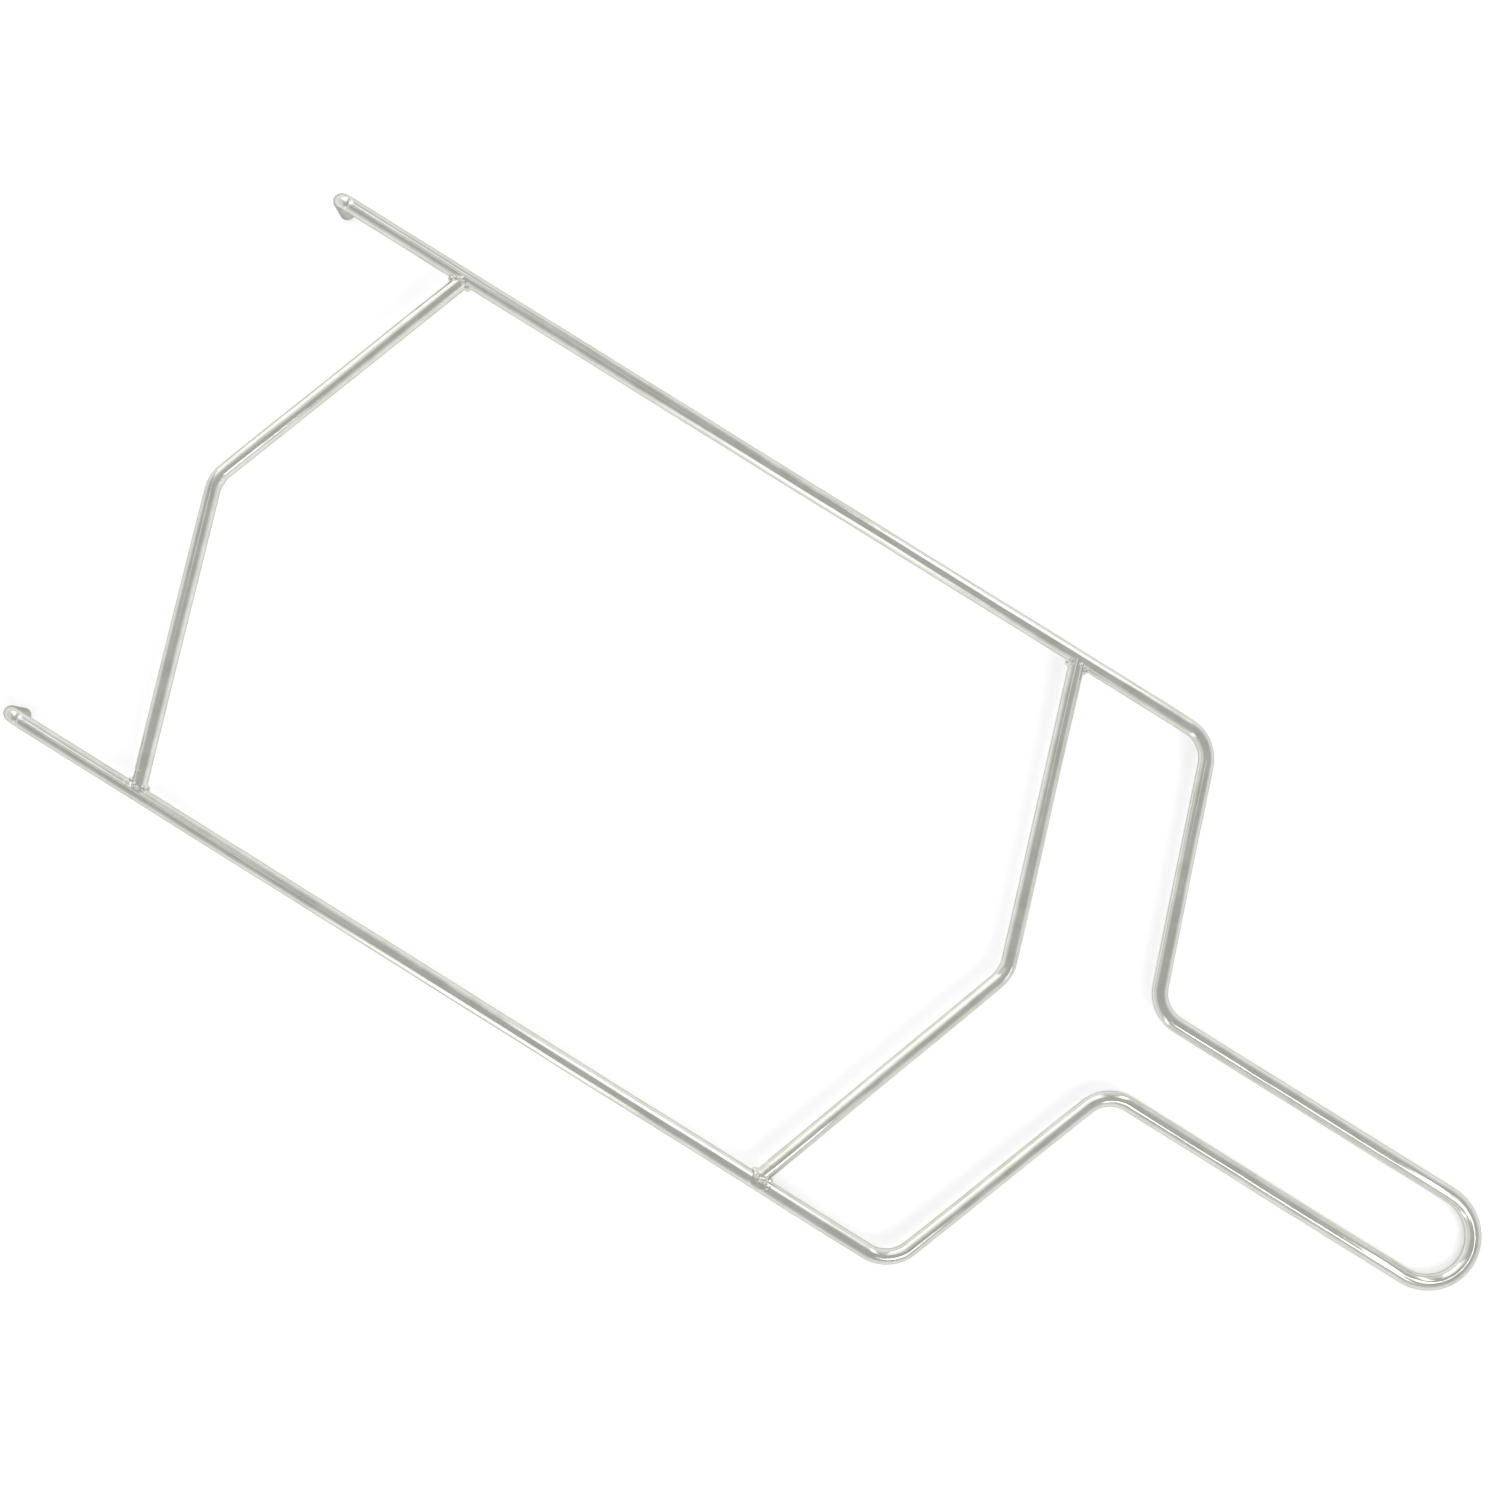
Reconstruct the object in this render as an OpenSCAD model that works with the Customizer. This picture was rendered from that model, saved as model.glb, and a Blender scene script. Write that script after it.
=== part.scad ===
// Flat wire rack with a loop handle.
// One continuous wire makes both rails, the shoulders, the handle and the two down-turned ends.
// Two V-bent cross wires are welded between the rails, and leave a long six-sided opening.
// X runs along the rails towards the handle, Y across them, and the cut ends stand on Z = 0.
// Left is -Y and right is +Y, as seen by the hand on the handle with the cut ends pointing away.

/* [Wire] */
// Diameter of every wire
wire_d = 4; // [3:0.5:5]
// Chamfer round the two cut ends of the frame wire
end_chamfer = 0.4; // [0.2:0.1:0.8]

/* [Rails] */
// Distance between the two rails, centre to centre
rail_spacing = 153; // [130:1:180]
// From a down-turned end to the far cross wire's weld
tip_length = 38; // [32:1:60]
// From the far cross wire's weld to the near one's
weld_spacing = 181; // [140:1:220]
// From the near cross wire's weld to the shoulder corner
neck_length = 39; // [32:1:60]

/* [Down-turned ends] */
// Height of the wire's centre line above the cut ends
drop = 12; // [10:0.5:24]
// Centre-line radius of the bend at each down-turned end
tip_bend_r = 3; // [2.8:0.1:5]

/* [Cross wires] */
// How far the point of a cross wire stands past its welds
point_reach = 26; // [16:1:36]
// Centre-line radius of the bend at the point
point_bend_r = 7; // [4:0.5:12]

/* [Handle] */
// Length along X of each slanting shoulder
shoulder_run = 23.5; // [15:0.5:35]
// Distance between the two sides of the handle, centre to centre
grip_spacing = 23; // [18:1:34]
// From the shoulder's inner corner to the wire's centre line at the handle's end
grip_length = 97.5; // [80:0.5:130]
// Centre-line radius of the four corners between rails, shoulders and handle
corner_bend_r = 9; // [6:0.5:14]

/* [Welds] */
// Diameter of a weld bead, as a multiple of the wire's
bead_ratio = 1.45; // [1.35:0.05:1.55]

/* [Hidden] */
$fn = 72;

rail_y = rail_spacing / 2;
grip_y = grip_spacing / 2;

overall_length = tip_length + weld_spacing + neck_length + shoulder_run + grip_length + wire_d;
tip_x = (wire_d - overall_length) / 2;
far_weld_x = tip_x + tip_length;
near_weld_x = far_weld_x + weld_spacing;
// Centre of the half circle at the handle's end
loop_x = (overall_length - wire_d) / 2 - grip_y;

// Angle that each of the four corners turns through
corner_turn = atan2(rail_y - grip_y, shoulder_run);
// Angle between a cross wire's arm and a line square to the rails
arm_slope = atan2(point_reach, rail_y);

// Length that a bend takes off each of the two straight lines it joins
function setback(radius, turn) = radius * tan(turn / 2);

corner_setback = setback(corner_bend_r, corner_turn);
point_setback = setback(point_bend_r, 2 * arm_slope);

leg_straight = drop - tip_bend_r - end_chamfer;
rail_straight = tip_length + weld_spacing + neck_length - tip_bend_r - corner_setback;
shoulder_straight = norm([shoulder_run, rail_y - grip_y]) - 2 * corner_setback;
grip_straight = grip_length - grip_y - corner_setback;
arm_straight = norm([point_reach, rail_y]) - point_setback;

// A bend is a hair thinner than the straight wire, and the straight wire reaches a hair into it,
// so that the two join in a clean step and not along a tangent
bend_d = wire_d - 0.06;
overlap = 0.05;
// Gap left under the end of a cross wire, which the weld fills
root_gap = wire_d / 40;
bead_d = bead_ratio * wire_d;
// Distance of a bead's centre from the rail's centre line, along the arm
bead_offset = 0.6 * wire_d;

// The wire is drawn as a walk: each step draws its stretch along X and then moves its
// children to the end of that stretch, facing the way the wire goes on.

// A straight stretch
module run(length) {
    translate([-overlap, 0, 0])
        rotate([0, 90, 0])
            cylinder(d = wire_d, h = length + 2 * overlap);
    translate([length, 0, 0])
        children();
}

// A bend towards +Y, or towards -Y where the angle is negative
module bend(angle, radius) {
    side = sign(angle);
    translate([0, side * radius, 0]) {
        rotate([0, 0, -side * 90])
            rotate_extrude(angle = angle)
                translate([radius, 0])
                    circle(d = bend_d);
        rotate([0, 0, angle])
            translate([0, -side * radius, 0])
                children();
    }
}

// The chamfer at the start of a cut wire
module cut_end() {
    rotate([0, 90, 0])
        cylinder(d1 = wire_d - 2 * end_chamfer, d2 = wire_d, h = end_chamfer);
    translate([end_chamfer, 0, 0])
        children();
}

// A turn about the wire's own line, so that the next bend lies in another plane
module roll(angle) {
    rotate([angle, 0, 0])
        children();
}

module mirrored_pair() {
    children();
    mirror([0, 1, 0])
        children();
}

// From a cut end to where the handle begins to turn round
module frame_half() {
    translate([tip_x, rail_y, 0])
        rotate([0, -90, 0])
            cut_end()
            run(leg_straight)
            roll(-90)
            bend(90, tip_bend_r)
            roll(90)
            run(rail_straight)
            bend(-corner_turn, corner_bend_r)
            run(shoulder_straight)
            bend(corner_turn, corner_bend_r)
            run(grip_straight);
}

module frame_wire() {
    color("silver") {
        mirrored_pair()
            frame_half();
        translate([loop_x, grip_y, drop])
            bend(-180, grip_y);
    }
}

// What lies between the rails, which cuts the cross wires' ends parallel to them
module between_rails() {
    intersection() {
        children();
        cube([4 * point_reach, rail_spacing - wire_d - 2 * root_gap, 2 * wire_d], center = true);
    }
}

// A V-bent wire with its welds on the line X = 0 and its point towards +X
module cross_wire() {
    point_x = point_reach - point_bend_r * (1 / cos(arm_slope) - 1);
    between_rails()
        mirrored_pair()
            translate([point_x, 0, 0])
                rotate([0, 0, 90])
                    bend(arm_slope, point_bend_r)
                    run(arm_straight);
}

// From the right-hand rail's centre line, facing back along the cross wire's arm
module at_arm_end() {
    translate([0, rail_y, 0])
        rotate([0, 0, arm_slope - 90])
            children();
}

// The bead at the right-hand end of cross_wire(), round the arm and against the rail
module weld_bead() {
    difference() {
        at_arm_end()
            translate([bead_offset, 0, 0])
                rotate([0, 90, 0])
                    sphere(d = bead_d);
        translate([-bead_d, rail_y, 0])
            run(2 * bead_d);
        between_rails()
            at_arm_end()
            run(2 * bead_d);
    }
}

module at_far_welds() {
    translate([far_weld_x, 0, drop])
        mirror([1, 0, 0])
            children();
}

module at_near_welds() {
    translate([near_weld_x, 0, drop])
        children();
}

module far_cross_wire() {
    color("gainsboro")
        at_far_welds()
            cross_wire();
}

module near_cross_wire() {
    color("gainsboro")
        at_near_welds()
            cross_wire();
}

module weld_far_left() {
    color("darkgray")
        at_far_welds()
            mirror([0, 1, 0])
                weld_bead();
}

module weld_far_right() {
    color("darkgray")
        at_far_welds()
            weld_bead();
}

module weld_near_left() {
    color("darkgray")
        at_near_welds()
            mirror([0, 1, 0])
                weld_bead();
}

module weld_near_right() {
    color("darkgray")
        at_near_welds()
            weld_bead();
}

frame_wire();
far_cross_wire();
near_cross_wire();
weld_far_left();
weld_far_right();
weld_near_left();
weld_near_right();
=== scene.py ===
"""A wire rack with a loop handle: bright plated wire, small resistance welds, on pale paper.

All sizes are in metres, in the CAD part's own frame: X along the rails to the handle, Z up.
"""

import math

import bmesh
import bpy
import numpy as np
from mathutils import Matrix, Vector, noise


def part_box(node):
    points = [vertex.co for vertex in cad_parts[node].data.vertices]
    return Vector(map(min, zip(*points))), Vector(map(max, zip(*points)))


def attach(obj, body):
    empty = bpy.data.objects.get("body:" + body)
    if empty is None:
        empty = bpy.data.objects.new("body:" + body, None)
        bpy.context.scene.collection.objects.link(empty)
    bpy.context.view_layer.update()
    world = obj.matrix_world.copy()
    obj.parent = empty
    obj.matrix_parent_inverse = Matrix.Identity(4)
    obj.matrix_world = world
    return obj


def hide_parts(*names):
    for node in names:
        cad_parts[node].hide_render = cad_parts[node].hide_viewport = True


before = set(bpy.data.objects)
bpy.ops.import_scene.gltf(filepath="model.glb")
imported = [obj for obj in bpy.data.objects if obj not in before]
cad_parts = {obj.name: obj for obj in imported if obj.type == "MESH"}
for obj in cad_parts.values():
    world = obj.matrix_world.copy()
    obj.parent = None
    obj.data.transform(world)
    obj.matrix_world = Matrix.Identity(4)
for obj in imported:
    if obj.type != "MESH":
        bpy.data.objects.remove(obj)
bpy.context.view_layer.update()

MM = 0.001
UP = Vector((0, 0, 1))

# Sizes repeated from part.scad
TIP_BEND_R = 3 * MM
CORNER_BEND_R = 9 * MM
POINT_BEND_R = 7 * MM
POINT_REACH = 26 * MM
SHOULDER_RUN = 23.5 * MM
GRIP_SPACING = 23 * MM
GRIP_LENGTH = 97.5 * MM
END_CHAMFER = 0.4 * MM

# How finely the wires are swept
SIDES = 48
STRAIGHT_STEP = 1.0 * MM
BEND_STEP = 0.22 * MM
# How many close rings a straight has beside a tight bend, where the bend's marks run on
LEAD_COUNT = 12
# Edges sharper than this stay sharp, which are the ones round the cut ends
SHARP_ANGLE = math.radians(35)

# Hand-bent wire is never quite straight: how far it strays, and over what length
STRAY = 0.10 * MM
STRAY_LENGTH = 32 * MM
# noise_vector takes its seed from the clock unless it is given one
STRAY_SEED = 7
# Nor is it quite round: its section is a slight oval, which turns slowly along the wire
OVALITY = 0.018
OVAL_LENGTH = 70 * MM

# Welding heat dulls the wire about this far from each weld
HEAT_REACH = 5 * MM


# ---------------------------------------------------------------- where things are

FRAME_LOW, FRAME_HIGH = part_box("frame_wire")
CROSS_LOW, CROSS_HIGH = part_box("far_cross_wire")
WIRE_R = (CROSS_HIGH.z - CROSS_LOW.z) / 2
WIRE_Z = (CROSS_HIGH.z + CROSS_LOW.z) / 2
RAIL_Y = FRAME_HIGH.y - WIRE_R
GRIP_Y = GRIP_SPACING / 2
TIP_X = FRAME_LOW.x + WIRE_R
HANDLE_END_X = FRAME_HIGH.x - WIRE_R
INNER_CORNER_X = HANDLE_END_X - GRIP_LENGTH
OUTER_CORNER_X = INNER_CORNER_X - SHOULDER_RUN
ARM_SLOPE = math.atan2(POINT_REACH, RAIL_Y)


def sharp_point_x(node, facing):
    """X of the corner that a cross wire would have if its point weren't rounded."""
    low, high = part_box(node)
    rounded = high.x - WIRE_R if facing > 0 else low.x + WIRE_R
    return rounded + facing * POINT_BEND_R * (1 / math.cos(ARM_SLOPE) - 1)


# For each cross wire, which way along X its point faces
FACING = {"far_cross_wire": -1, "near_cross_wire": 1}
POINT_X = {n: sharp_point_x(n, facing) for n, facing in FACING.items()}
WELD_X = {n: POINT_X[n] - facing * POINT_REACH for n, facing in FACING.items()}


# ---------------------------------------------------------------- paths of the wires

def arc(before, corner, after, radius):
    """Points on the arc that rounds a corner, from its start to its end."""
    going_in = (corner - before).normalized()
    going_out = (after - corner).normalized()
    turn = going_in.angle(going_out)
    start = corner - going_in * radius * math.tan(turn / 2)
    centre = corner + (going_out - going_in).normalized() * radius / math.cos(turn / 2)
    axis = going_in.cross(going_out).normalized()
    count = math.ceil(radius * turn / BEND_STEP)
    return [
        centre + Matrix.Rotation(turn * i / count, 3, axis) @ (start - centre)
        for i in range(count + 1)
    ]


def filled(points):
    """The same line, with points added wherever two are further apart than a straight's step."""
    made = [points[0]]
    for a, b in zip(points, points[1:]):
        count = max(math.ceil((b - a).length / STRAIGHT_STEP - 0.01), 1)
        made += [a.lerp(b, (i + 1) / count) for i in range(count)]
    return made


def lead(bend_end, corner):
    """Close points on the straight next to a bend, going away from its corner."""
    away = (bend_end - corner).normalized()
    return [bend_end + away * BEND_STEP * i for i in range(1, LEAD_COUNT + 1)]


def rounded_path(corners, radii):
    """A line through the corners, each inner one rounded to its radius."""
    points = [corners[0]]
    for i, radius in enumerate(radii):
        bend = arc(corners[i], corners[i + 1], corners[i + 2], radius)
        # The marks of a tight bend run on beyond its ends
        if radius < CORNER_BEND_R:
            before, after = (lead(end, corners[i + 1]) for end in (bend[0], bend[-1]))
            bend = before[::-1] + bend + after
        points += bend
    points.append(corners[-1])
    return filled(points)


def frame_corners():
    """The frame wire's corners from one cut end round the handle to the other."""
    half = [
        Vector((TIP_X, RAIL_Y, 0)),
        Vector((TIP_X, RAIL_Y, WIRE_Z)),
        Vector((OUTER_CORNER_X, RAIL_Y, WIRE_Z)),
        Vector((INNER_CORNER_X, GRIP_Y, WIRE_Z)),
        Vector((HANDLE_END_X, GRIP_Y, WIRE_Z)),
    ]
    return half + [Vector((p.x, -p.y, p.z)) for p in reversed(half)]


def frame_path():
    one_side = [TIP_BEND_R, CORNER_BEND_R, CORNER_BEND_R]
    # The handle's half circle is two quarter bends, a hair short of meeting
    quarter = GRIP_Y - 0.001 * MM
    return rounded_path(frame_corners(), one_side + [quarter, quarter] + one_side[::-1])


def cross_path(node):
    """A cross wire's line. It ends inside the two rails."""
    ends = [Vector((WELD_X[node], side * RAIL_Y, WIRE_Z)) for side in (1, -1)]
    point = Vector((POINT_X[node], 0, WIRE_Z))
    return rounded_path([ends[0], point, ends[1]], [POINT_BEND_R])


# ---------------------------------------------------------------- marks left by bending

# The marks of a shoulder's corner lie this far from the sharp corner along X and Y, and the
# inside of the bend faces this way
CORNER_INSET_X = 2.3 * MM
CORNER_INSET_Y = 1.6 * MM
CORNER_INSIDE_X = 0.8
CORNER_INSIDE_Y = 0.6


def mark(at, towards, height, reach, focus):
    """A bulge, or a dent where height is negative, on the side of the wire that faces towards.
    Height is a share of the wire's radius; a high focus keeps it to a narrow strip."""
    return at, towards.normalized(), height, reach, focus


def tip_marks(side):
    """A tight bend over a tool's edge: a flattened cap, and behind it a groove across the wire
    with a low ridge beyond."""
    out = Vector((-1, 0, 0))
    cap = Vector((TIP_X + 0.5 * TIP_BEND_R, side * RAIL_Y, WIRE_Z - 0.2 * TIP_BEND_R))
    groove = Vector((TIP_X + 1.07 * TIP_BEND_R, side * RAIL_Y, WIRE_Z))
    ridge = groove + Vector((1.0 * MM, 0, 0))
    return [
        mark(cap, out * 0.7 + UP, -0.15, 1.8 * MM, 2),
        mark(groove, UP, -0.13, 0.38 * MM, 1),
        mark(ridge, UP, 0.02, 0.8 * MM, 2),
    ]


def corner_marks(at, inwards):
    """A bend over a roller: the outside is drawn a little flat and the inside a little full."""
    return [
        mark(at, -inwards, -0.05, 6 * MM, 2),
        mark(at, inwards, 0.03, 5 * MM, 2),
    ]


def frame_marks():
    """The marks of the tips and of the four corners between rails, shoulders and handle."""
    marks = []
    for side in (1, -1):
        marks += tip_marks(side)
        outer_y = side * (RAIL_Y - CORNER_INSET_Y)
        inner_y = side * (GRIP_Y + CORNER_INSET_Y)
        outer = Vector((OUTER_CORNER_X - CORNER_INSET_X, outer_y, WIRE_Z))
        inner = Vector((INNER_CORNER_X + CORNER_INSET_X, inner_y, WIRE_Z))
        inside = Vector((CORNER_INSIDE_X, CORNER_INSIDE_Y * side, 0))
        marks += corner_marks(outer, -inside)
        marks += corner_marks(inner, inside)
    return marks


def point_marks(node):
    """A sharp crease on the inside of a cross wire's point, and a flattened outside."""
    facing = Vector((FACING[node], 0, 0))
    at = Vector((POINT_X[node] - FACING[node] * 0.4 * MM, 0, WIRE_Z))
    return [
        mark(at, -facing, 0.12, 1.5 * MM, 2),
        mark(at, facing, -0.07, 3.0 * MM, 2),
        mark(at, UP, 0.03, 2.5 * MM, 2),
    ]


# ---------------------------------------------------------------- swept wires

def strayed(path):
    """The path with the slight wander of hand-bent wire."""
    noise.seed_set(STRAY_SEED)
    return [p + noise.noise_vector(p / STRAY_LENGTH) * STRAY for p in path]


def directions(points):
    """Unit direction of the line at each of its points."""
    along = np.gradient(points, axis=0)
    return along / np.linalg.norm(along, axis=1)[:, None]


def carried_normals(tangents):
    """A unit vector square to the line at each point, carried along with no twist."""
    # Any direction will do for the first, if no wire starts along it
    first = np.cross(tangents[0], (0.3, 0.2, 0.9))
    normals = [first / np.linalg.norm(first)]
    for tangent in tangents[1:]:
        flat = normals[-1] - tangent * normals[-1].dot(tangent)
        normals.append(flat / np.linalg.norm(flat))
    return np.array(normals)


def ring_radii(points, rays, marks):
    """The wire's radius at each ring and side: a slowly turning oval, with the marks in it."""
    turned = np.array([noise.noise(Vector(p) / OVAL_LENGTH) for p in points]) * 2 * math.pi
    turns = np.arange(SIDES) * 2 * math.pi / SIDES
    oval = np.cos(2 * (turns[None] - turned[:, None]))
    radii = WIRE_R * (1 + OVALITY * (oval - 1) / 2)
    for at, towards, height, reach, focus in marks:
        near = np.exp(-(np.linalg.norm(points - np.array(at), axis=1) / reach) ** 2)
        faces = np.clip(rays @ np.array(towards), 0, 1) ** focus
        radii += WIRE_R * height * near[:, None] * faces
    return radii


def with_chamfers(points):
    """The points, with one more near each end, where the end's chamfer begins."""
    inner_start = points[0] + (points[1] - points[0]).normalized() * END_CHAMFER
    inner_end = points[-1] + (points[-2] - points[-1]).normalized() * END_CHAMFER
    return [points[0], inner_start] + points[1:-1] + [inner_end, points[-1]]


def tube_faces(rings):
    """Quads between neighbouring rings, and one face over each end."""
    faces = []
    for ring in range(rings - 1):
        for side in range(SIDES):
            after = (side + 1) % SIDES
            low, high = ring * SIDES, (ring + 1) * SIDES
            faces.append((low + side, low + after, high + after, high + side))
    faces.append(tuple(range(SIDES))[::-1])
    faces.append(tuple(range((rings - 1) * SIDES, rings * SIDES)))
    return faces


def tube_uvs(points):
    """For each corner of each face: the turn round the wire, and the length along it in metres."""
    steps = np.linalg.norm(np.diff(points, axis=0), axis=1)
    lengths = np.concatenate([[0], np.cumsum(steps)])
    uvs = []
    for ring in range(len(points) - 1):
        for side in range(SIDES):
            near, far = side / SIDES, (side + 1) / SIDES
            uvs += [near, lengths[ring], far, lengths[ring]]
            uvs += [far, lengths[ring + 1], near, lengths[ring + 1]]
    return uvs + [0.5, 0.0] * (2 * SIDES)


def weld_heat(points):
    """How strongly welding heat reached each point, from 0 to 1."""
    heat = np.zeros(len(points))
    for weld_x in WELD_X.values():
        for side in (1, -1):
            weld = np.array((weld_x, side * (RAIL_Y - WIRE_R), WIRE_Z))
            away = np.linalg.norm(points - weld, axis=1)
            heat = np.maximum(heat, np.exp(-(away / HEAT_REACH) ** 2))
    return heat


def in_scene(name, data):
    """A new object in the scene for a mesh, a light or a camera."""
    made = bpy.data.objects.new(name, data)
    bpy.context.scene.collection.objects.link(made)
    return made


def new_object(name, vertices, faces, material):
    """A smooth-shaded mesh object that carries the heat at each of its vertices."""
    mesh = bpy.data.meshes.new(name)
    mesh.from_pydata(vertices, [], faces)
    mesh.materials.append(material)
    mesh.shade_smooth()
    heat = mesh.attributes.new("heat", "FLOAT", "POINT")
    heat.data.foreach_set("value", weld_heat(np.array(vertices)).astype(np.float32))
    return in_scene(name, mesh)


def swept_wire(name, path, marks, material):
    """A wire of the right thickness along the path, with its marks and chamfered cut ends."""
    points = np.array(with_chamfers(strayed(path)))
    tangents = directions(points)
    normals = carried_normals(tangents)
    sideways = np.cross(tangents, normals)
    turns = np.arange(SIDES) * 2 * math.pi / SIDES
    rays = (
        normals[:, None] * np.cos(turns)[None, :, None]
        + sideways[:, None] * np.sin(turns)[None, :, None]
    )
    radii = ring_radii(points, rays, marks)
    radii[[0, -1]] -= END_CHAMFER
    vertices = (points[:, None] + rays * radii[:, :, None]).reshape(-1, 3)
    made = new_object(name, vertices.tolist(), tube_faces(len(points)), material)
    layer = made.data.uv_layers.new(name="along")
    layer.data.foreach_set("uv", tube_uvs(points))
    made.data.set_sharp_from_angle(angle=SHARP_ANGLE)
    return made


# ---------------------------------------------------------------- weld beads

# A bead is a skin pushed out along rays from its centre: the furthest it can go, how many steps
# find the surface, and how many halvings then pin it down
BEAD_REACH = 4.0 * MM
BEAD_STEPS = 60
BEAD_HALVINGS = 12
# Size of the fillets between a bead's lumps
BEAD_BLEND = 0.35 * MM
# The parts of a bead that lie on a wire sink this far below its surface, out of sight
BEAD_SINK = 0.05 * MM
# From the rail's centre line to the bead's centre, along the arm, in wire radii
BEAD_CENTRE = 1.15
# From the rail's centre line to a lump's centre, by the shortest way, in wire radii
LUMP_FROM_RAIL = 1.14
# Radius of a lump, and how far it stands from the arm's centre line in wire radii: for one above
# or below the arm, and for one beside it
LUMP_RADII = (0.35 * MM, 0.90 * MM)
LUMP_REACHES = (0.86, 1.06)
# Degrees round the arm from one lump to the next
LUMP_SPACING = 40
# The skin grows rough as it rises this far above the wires
ROUGH_FROM = 0.35 * MM
# How large the skin's rough features are, and how high: first the coarse ones, then the fine
ROUGH_FEATURES = ((0.9 * MM, 0.10 * MM), (0.3 * MM, 0.03 * MM))

# What starts each bead's random numbers
BEAD_SEEDS = {
    "weld_far_left": 20,
    "weld_far_right": 41,
    "weld_near_left": 27,
    "weld_near_right": 48,
}


def soft_union(a, b, blend):
    """The union of two distance fields, with a fillet between them."""
    mix = np.clip(0.5 + 0.5 * (b - a) / blend, 0, 1)
    return b * (1 - mix) + a * mix - blend * mix * (1 - mix)


def line_distance(p, start, along):
    """Distance from points to the half line from start."""
    reach = np.clip((p - start) @ along, 0, None)
    return np.linalg.norm(p - start - reach[:, None] * along, axis=1)


class Weld:
    """One resistance weld: the joint's fillets, and the lumps of metal squeezed out of it."""

    def __init__(self, node, side, seed):
        self.rng = np.random.default_rng(seed)
        self.rail = np.array((WELD_X[node], side * RAIL_Y, WIRE_Z))
        point = np.array((POINT_X[node], 0, WIRE_Z))
        self.arm = (point - self.rail) / np.linalg.norm(point - self.rail)
        self.across = np.cross(self.arm, UP)
        self.centre = self.rail + self.arm * BEAD_CENTRE * WIRE_R
        self.lumps = [self.lump(turn) for turn in np.arange(0, 360, LUMP_SPACING)]

    def lump(self, turn):
        """Centre and radius of a lump round the arm's end. Those beside the arm are the largest."""
        angle = math.radians(turn + self.rng.uniform(-12, 12))
        beside = abs(math.cos(angle))
        radius = np.interp(beside, (0, 1), LUMP_RADII) * self.rng.uniform(0.85, 1.15)
        out = WIRE_R * np.interp(beside, (0, 1), LUMP_REACHES) * self.rng.uniform(0.97, 1.03)
        from_rail = WIRE_R * (LUMP_FROM_RAIL + self.rng.uniform(-0.05, 0.05))
        offset = out * (self.across * math.cos(angle) + np.array(UP) * math.sin(angle))
        # Y of the lump's centre from the rail's line, where it lies that far from the line
        y = math.copysign(math.sqrt(from_rail ** 2 - offset[2] ** 2), self.arm[1])
        return self.rail + self.arm * (y - offset[1]) / self.arm[1] + offset, radius

    def wires(self, p, sink):
        """Distance to the two wires that the weld joins."""
        rail = np.linalg.norm((p - self.rail)[:, 1:], axis=1)
        arm = line_distance(p, self.rail + self.arm * WIRE_R, self.arm)
        return rail - WIRE_R + sink, arm - WIRE_R + sink

    def distance(self, p):
        """Distance from points to the bead's surface, below 0 inside it."""
        field = soft_union(*self.wires(p, BEAD_SINK), 2 * BEAD_BLEND)
        for centre, radius in self.lumps:
            field = soft_union(field, np.linalg.norm(p - centre, axis=1) - radius, BEAD_BLEND)
        return field

    def reach(self, rays):
        """How far each ray goes from the bead's centre to its surface."""
        steps = np.linspace(0, BEAD_REACH, BEAD_STEPS + 1)
        low = np.zeros(len(rays))
        high = np.full(len(rays), BEAD_REACH)
        found = np.zeros(len(rays), bool)
        for near, far in zip(steps, steps[1:]):
            outside = self.distance(self.centre + rays * far) > 0
            first = outside & ~found
            low[first], high[first] = near, far
            found |= outside
        for _ in range(BEAD_HALVINGS):
            middle = (low + high) / 2
            outside = self.distance(self.centre + rays * middle[:, None]) > 0
            high = np.where(outside & found, middle, high)
            low = np.where(outside | ~found, low, middle)
        return high

    def surface(self, rays):
        """Points of the bead's skin, one on each ray, roughened where it shows."""
        skin = self.centre + rays * self.reach(rays)[:, None]
        shows = np.clip(np.minimum(*self.wires(skin, 0)) / ROUGH_FROM, 0, 1)
        rough = sum(
            height * np.array([noise.noise(Vector(p) / size) for p in skin])
            for size, height in ROUGH_FEATURES
        )
        return skin + rays * (rough * shows)[:, None]


def ball_directions():
    """Unit vectors spread evenly over a sphere, and the triangles that join them."""
    ball = bmesh.new()
    bmesh.ops.create_icosphere(ball, subdivisions=6, radius=1)
    rays = np.array([v.co for v in ball.verts])
    faces = [[v.index for v in f.verts] for f in ball.faces]
    ball.free()
    return rays, faces


def weld_bead(name, weld, material):
    rays, faces = ball_directions()
    return new_object(name, weld.surface(rays).tolist(), faces, material)


# ---------------------------------------------------------------- materials

PLATING = (0.70, 0.70, 0.64)
PLATING_DULL = (0.64, 0.64, 0.575)
# Weld metal in its hollows
HEATED = (0.64, 0.62, 0.57)
# The plating's tint where it is seen edge-on
EDGE = (0.45, 0.45, 0.44, 1)
WHITE = (1, 1, 1)
# What welding heat multiplies the plating's colour by, from no heat to the most
HEAT_TINTS = [(0, WHITE), (0.35, (0.98, 0.97, 0.96)), (1, (0.90, 0.88, 0.84))]
# What the most heat adds to the plating's roughness
HEAT_ROUGHNESS = 0.06

# How many features of each noise there are in a metre
MOTTLE_SCALE = 160.0
GRAIN_SCALE = 2600.0
PATCH_SCALE = 700.0
PIT_SCALE = 3200.0
FIBRE_SCALE = 900.0
# Draw lines are fine round the wire and long along it: features in a turn, and in a metre
LINE_SCALE = (90, 55, 1)


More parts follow.
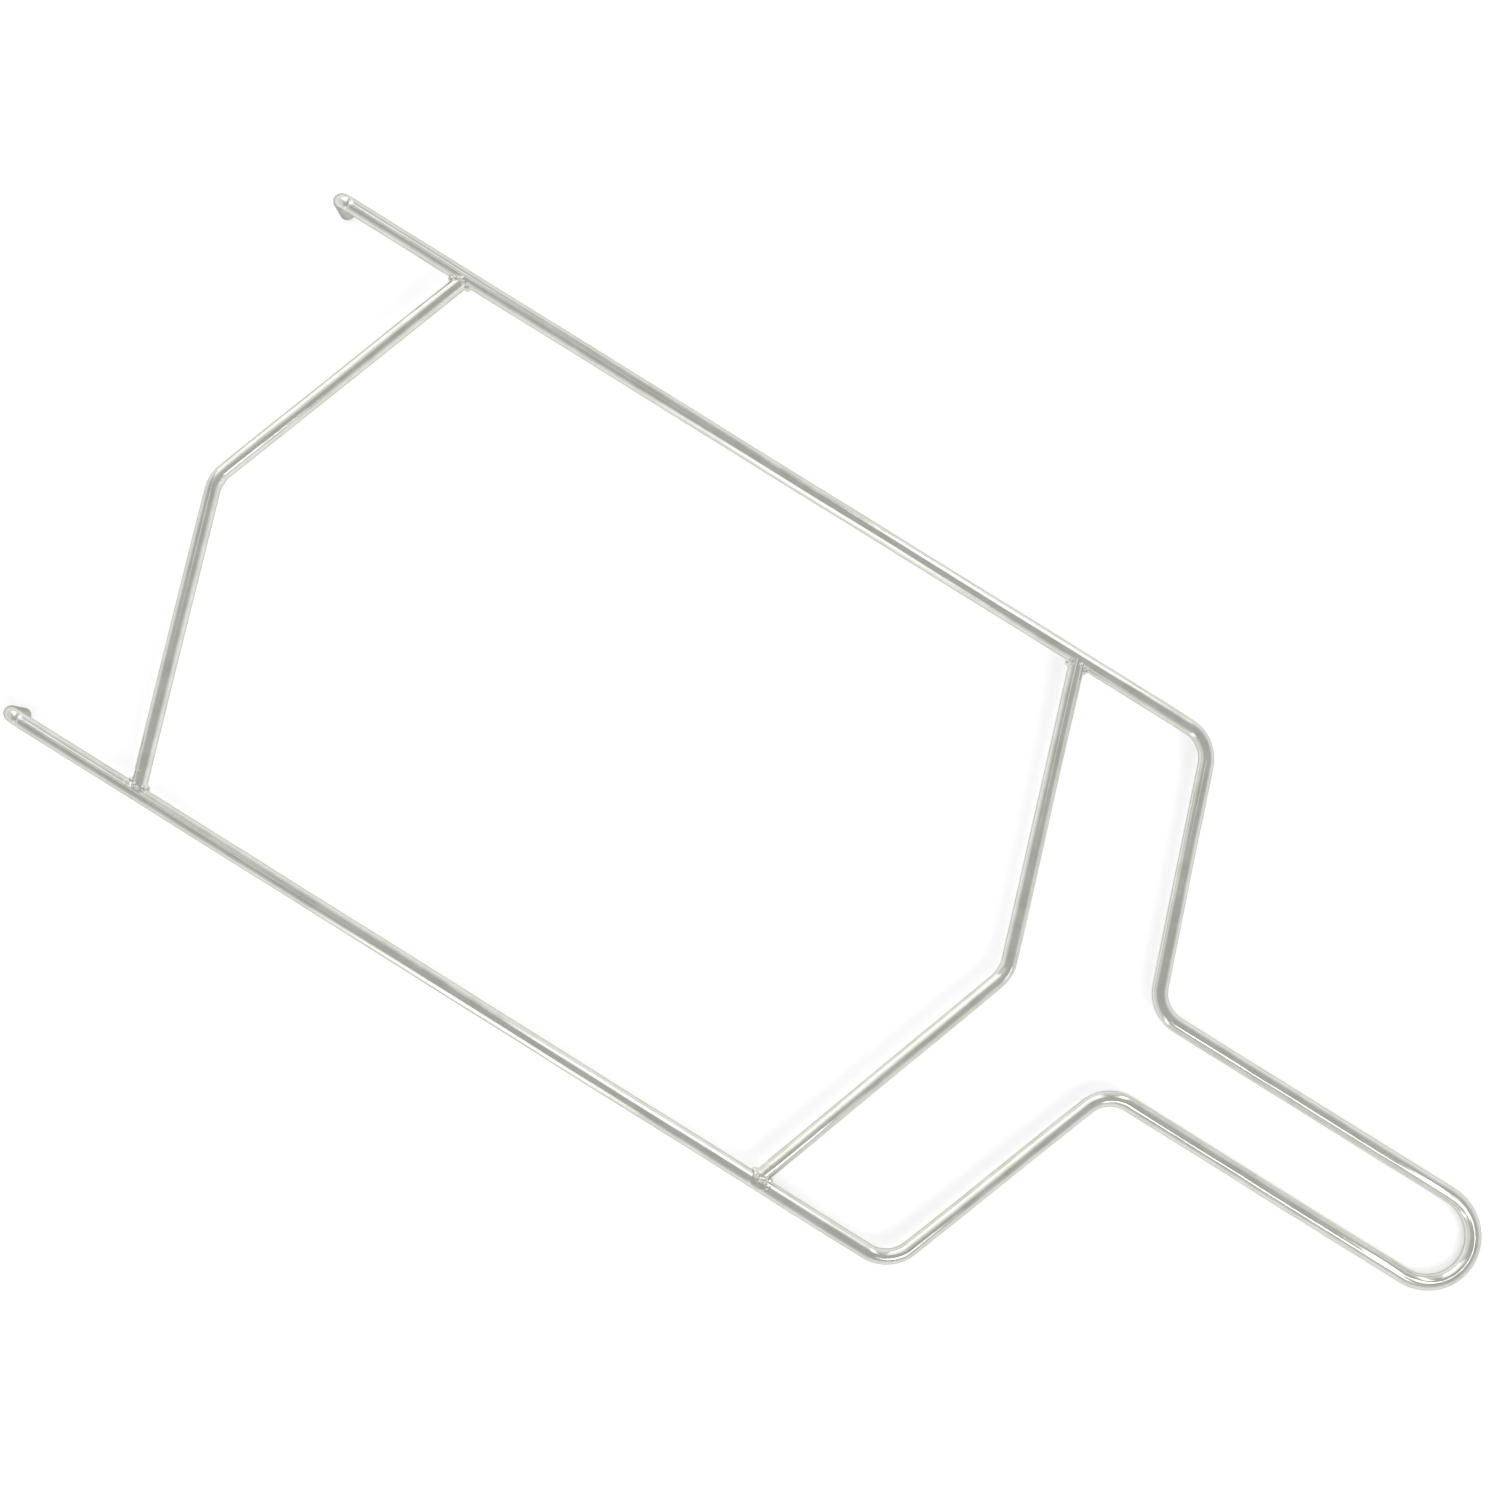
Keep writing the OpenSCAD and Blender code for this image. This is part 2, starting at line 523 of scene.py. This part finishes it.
def add(tree, kind, settings=None, **inputs):
    """A new node. An input is a value or a socket to link from; _ in a name stands for a space."""
    made = tree.nodes.new(kind)
    for name, value in (settings or {}).items():
        setattr(made, name, value)
    for name, value in inputs.items():
        socket = made.inputs[name.replace("_", " ")]
        if isinstance(value, bpy.types.NodeSocket):
            tree.links.new(value, socket)
        else:
            socket.default_value = value
    return made


def noise_value(tree, vector, scale, detail):
    made = add(tree, "ShaderNodeTexNoise", Vector=vector, Scale=scale, Detail=detail)
    return made.outputs["Fac"]


def ranged(tree, value, low, high):
    """A noise value, which keeps near 0.5, spread to run from low to high."""
    made = add(
        tree, "ShaderNodeMapRange", {"interpolation_type": "SMOOTHSTEP"},
        Value=value, From_Min=0.3, From_Max=0.7, To_Min=low, To_Max=high,
    )
    return made.outputs["Result"]


def maths(tree, operation, a, b):
    made = tree.nodes.new("ShaderNodeMath")
    made.operation = operation
    for socket, value in zip(made.inputs, (a, b)):
        if isinstance(value, bpy.types.NodeSocket):
            tree.links.new(value, socket)
        else:
            socket.default_value = value
    return made.outputs["Value"]


def ramp(tree, value, stops):
    """A colour for the value, from stops that are each a place from 0 to 1 and a colour."""
    made = add(tree, "ShaderNodeValToRGB", Fac=value)
    elements = made.color_ramp.elements
    while len(elements) < len(stops):
        elements.new(0.5)
    for element, (at, colour) in zip(elements, stops):
        element.position = at
        element.color = (*colour, 1)
    return made.outputs["Color"]


def multiplied(tree, a, b):
    made = add(tree, "ShaderNodeVectorMath", {"operation": "MULTIPLY"})
    tree.links.new(a, made.inputs[0])
    tree.links.new(b, made.inputs[1])
    return made.outputs["Vector"]


def bump(tree, height, distance, strength, normal=None):
    made = add(tree, "ShaderNodeBump", Height=height, Distance=distance, Strength=strength)
    if normal is not None:
        tree.links.new(normal, made.inputs["Normal"])
    return made.outputs["Normal"]


def new_material(name):
    """A material, its node tree, its Principled shader, and a socket with the place on the object."""
    material = bpy.data.materials.new(name)
    material.use_nodes = True
    tree = material.node_tree
    position = add(tree, "ShaderNodeTexCoord").outputs["Object"]
    return material, tree, tree.nodes["Principled BSDF"], position


def plated_wire():
    """Bright plating over drawn wire: faint draw lines, soft mottling, dulled by each weld."""
    material, tree, shader, position = new_material("plated_wire")
    uv = add(tree, "ShaderNodeUVMap", {"uv_map": "along"}).outputs["UV"]
    heat = add(tree, "ShaderNodeAttribute", {"attribute_name": "heat"}).outputs["Fac"]

    stretched = add(tree, "ShaderNodeMapping", Vector=uv, Scale=LINE_SCALE).outputs["Vector"]
    lines = noise_value(tree, stretched, 1.0, 4.0)
    mottle = noise_value(tree, position, MOTTLE_SCALE, 4.0)
    grain = noise_value(tree, position, GRAIN_SCALE, 2.0)

    colour = ramp(tree, ranged(tree, mottle, 0, 1), [(0, PLATING_DULL), (0.75, PLATING)])
    tint = ramp(tree, heat, HEAT_TINTS)
    tree.links.new(multiplied(tree, colour, tint), shader.inputs["Base Color"])

    shader.inputs["Metallic"].default_value = 1.0
    shader.inputs["Specular Tint"].default_value = EDGE
    dulled = ranged(tree, mottle, 0.10, 0.15)
    scored = ranged(tree, lines, -0.02, 0.03)
    heated = maths(tree, "MULTIPLY", heat, HEAT_ROUGHNESS)
    roughness = maths(tree, "ADD", maths(tree, "ADD", dulled, scored), heated)
    tree.links.new(roughness, shader.inputs["Roughness"])

    ridges = bump(tree, lines, 0.012 * MM, 0.5)
    tree.links.new(bump(tree, grain, 0.008 * MM, 0.5, ridges), shader.inputs["Normal"])
    return material


def weld_metal():
    """Squeezed-out metal under the same plating: rougher, pitted, brownish in its hollows."""
    material, tree, shader, position = new_material("weld_metal")
    patches = noise_value(tree, position, PATCH_SCALE, 4.0)
    pits = noise_value(tree, position, PIT_SCALE, 3.0)

    colours = [(0, HEATED), (0.45, PLATING_DULL), (0.8, PLATING)]
    tree.links.new(ramp(tree, ranged(tree, patches, 0, 1), colours), shader.inputs["Base Color"])
    shader.inputs["Metallic"].default_value = 1.0
    tree.links.new(ranged(tree, pits, 0.09, 0.20), shader.inputs["Roughness"])
    dented = bump(tree, patches, 0.05 * MM, 0.5)
    tree.links.new(bump(tree, pits, 0.02 * MM, 0.5, dented), shader.inputs["Normal"])
    return material


def paper():
    """Matt white paper, which glows a little as it would on a light table."""
    material, tree, shader, position = new_material("paper")
    fibres = noise_value(tree, position, FIBRE_SCALE, 5.0)
    shades = [(0, (0.86, 0.86, 0.87)), (1, (0.90, 0.90, 0.90))]
    tree.links.new(ramp(tree, fibres, shades), shader.inputs["Base Color"])
    shader.inputs["Roughness"].default_value = 0.9
    shader.inputs["Specular IOR Level"].default_value = 0.2
    shader.inputs["Emission Color"].default_value = (*WHITE, 1)
    shader.inputs["Emission Strength"].default_value = 0.27
    tree.links.new(bump(tree, fibres, 0.05 * MM, 0.3), shader.inputs["Normal"])
    return material


# ---------------------------------------------------------------- floor and room

# Half the length of the floor's side, and how many points there are along a side
FLOOR_HALF = 4.0
FLOOR_POINTS = 9


def paper_floor():
    """Paper tilted to touch both cut ends and the underside of the handle's end."""
    slope = (WIRE_Z - WIRE_R) / (HANDLE_END_X - TIP_X)
    across = np.linspace(-FLOOR_HALF, FLOOR_HALF, FLOOR_POINTS)
    vertices = [(x, y, (x - TIP_X) * slope) for x in across for y in across]
    faces = []
    for i in range(FLOOR_POINTS - 1):
        for j in range(FLOOR_POINTS - 1):
            here, beyond = i * FLOOR_POINTS + j, (i + 1) * FLOOR_POINTS + j
            faces.append((here, beyond, beyond + 1, here + 1))
    mesh = bpy.data.meshes.new("paper_floor")
    mesh.from_pydata(vertices, [], faces)
    mesh.materials.append(paper())
    floor = in_scene("paper_floor", mesh)
    return floor


ROOM_SIDES = (0.95, 0.95, 0.97)
ROOM_CEILING = (0.56, 0.56, 0.57)
# The walls give way to the ceiling between these two heights, as the sine of the elevation
WALL_TOP = 0.20
CEILING_EDGE = 0.80


def room():
    """Bright walls all round, and a dim ceiling that the tops of the wires mirror."""
    world = bpy.data.worlds.new("room")
    world.use_nodes = True
    tree = world.node_tree
    direction = add(tree, "ShaderNodeTexCoord").outputs["Generated"]
    height = add(tree, "ShaderNodeSeparateXYZ", Vector=direction).outputs["Z"]
    share = add(
        tree, "ShaderNodeMapRange", {"interpolation_type": "SMOOTHSTEP"},
        Value=height, From_Min=WALL_TOP, From_Max=CEILING_EDGE, To_Min=0.0, To_Max=1.0,
    ).outputs["Result"]
    colour = ramp(tree, share, [(0, ROOM_SIDES), (1, ROOM_CEILING)])
    tree.links.new(colour, tree.nodes["Background"].inputs["Color"])
    bpy.context.scene.world = world


# ---------------------------------------------------------------- lights and camera

# How far away the large soft boxes stand
FAR = 3.0
WARM_WHITE = (1.0, 0.995, 0.98)

# The desk lamp's tube hangs high, past the handle's end and to its left, nearly along the rails
DESK_LAMP_AT = Vector((0.315, -0.25, 0.51))
DESK_LAMP_ALONG = Vector((0.98, -0.17, 0))
# The end lamp is low and close, just past the handle's end, and lies across it. It draws the
# bright line round the handle's end
END_LAMP_AT = Vector((0.209, 0.002, 0.112))
END_LAMP_ALONG = Vector((0, 1, 0))
# Towards the lamp that throws the shadows
SHADOWS_FROM = Vector((0.60, -0.14, 0.76))


def aimed(at, right, back):
    """A transform for a light or a camera, which both look along their own -Z."""
    turned = Matrix((right, back.cross(right), back)).transposed().to_4x4()
    return Matrix.Translation(at) @ turned


def soft_box(name, at, long_side, size, radiance, colour=WHITE):
    """An area light aimed at the object, hidden from the camera. Size is (long side, short side)."""
    back = (at - Vector((0, 0, WIRE_Z))).normalized()
    along = (long_side - back * long_side.dot(back)).normalized()
    light = bpy.data.lights.new(name, "AREA")
    light.shape = "RECTANGLE"
    light.size, light.size_y = size
    light.energy = radiance * size[0] * size[1] * math.pi
    light.color = colour
    made = in_scene(name, light)
    made.matrix_world = aimed(at, along, back)
    made.visible_camera = False


def far_box(name, azimuth, from_zenith, wide, tall, radiance, colour=WHITE):
    """A soft box far enough away to light every wire alike. Angles are in degrees: azimuth is
    counter-clockwise from +X, and wide and tall are how large it looks from the object."""
    a, z = math.radians(azimuth), math.radians(from_zenith)
    back = Vector((math.cos(a) * math.sin(z), math.sin(a) * math.sin(z), math.cos(z)))
    size = [2 * FAR * math.tan(math.radians(angle / 2)) for angle in (tall, wide)]
    soft_box(name, back * FAR, UP, size, radiance, colour)


def shadow_lamp():
    """A broad, distant lamp that throws each wire's soft shadow away from the handle's end."""
    light = bpy.data.lights.new("shadow_lamp", "SUN")
    light.energy = 0.60
    light.angle = math.radians(26)
    made = in_scene("shadow_lamp", light)
    made.rotation_euler = SHADOWS_FROM.to_track_quat("Z", "Y").to_euler()
    return made


def keep_to(light, receiver):
    """Let the light fall on one object alone. The others still shade it."""
    lit = bpy.data.collections.new(light.name + "_lit")
    lit.objects.link(receiver)
    light.light_linking.receiver_collection = lit


def lights(floor):
    """A box or a lamp for each line of light that the wires mirror, and one for the shadows."""
    far_box("window", 146, 56, wide=42, tall=56, radiance=0.75, colour=WARM_WHITE)
    far_box("window_spill", 166, 16, wide=8, tall=10, radiance=0.6)
    far_box("left_strip", -94, 70, wide=9, tall=46, radiance=1.0)
    far_box("right_strip", 86, 55, wide=11, tall=42, radiance=1.2)
    soft_box("desk_lamp", DESK_LAMP_AT, DESK_LAMP_ALONG, size=(0.24, 0.055), radiance=6.0)
    soft_box("end_lamp", END_LAMP_AT, END_LAMP_ALONG, size=(0.070, 0.010), radiance=4.5)
    keep_to(shadow_lamp(), floor)


# The photograph's viewpoint: almost straight above, the handle to the lower right
CAMERA_AT = Vector((-20.2, -10.7, 531.2)) * MM
CAMERA_AIM = Vector((-28.0, 13.3, 12.0)) * MM
CAMERA_UP = Vector((-0.529, 0.847, 0.047))
# Both in millimetres, as Blender has them
LENS = 50
SENSOR = 36


def camera():
    data = bpy.data.cameras.new("camera")
    data.lens = LENS
    data.sensor_width = SENSOR
    back = (CAMERA_AT - CAMERA_AIM).normalized()
    right = CAMERA_UP.cross(back).normalized()
    made = in_scene("camera", data)
    made.matrix_world = aimed(CAMERA_AT, right, back)
    bpy.context.scene.camera = made


# ---------------------------------------------------------------- the whole scene

def stand_in(piece, node):
    """The piece stands for a CAD node, rides with it, and hides the node."""
    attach(piece, "root")
    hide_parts(node)


def build():
    """The frame wire, and each cross wire with a weld bead at its two ends."""
    plating = plated_wire()
    welded = weld_metal()
    wire = swept_wire("frame_wire_skin", frame_path(), frame_marks(), plating)
    stand_in(wire, "frame_wire")
    for node in FACING:
        wire = swept_wire(node + "_skin", cross_path(node), point_marks(node), plating)
        stand_in(wire, node)
        for side, word in ((-1, "left"), (1, "right")):
            bead_node = f"weld_{node.split('_')[0]}_{word}"
            weld = Weld(node, side, BEAD_SEEDS[bead_node])
            stand_in(weld_bead(bead_node + "_skin", weld, welded), bead_node)


build()
floor = paper_floor()
room()
lights(floor)
camera()
bpy.context.scene.view_settings.view_transform = "Standard"
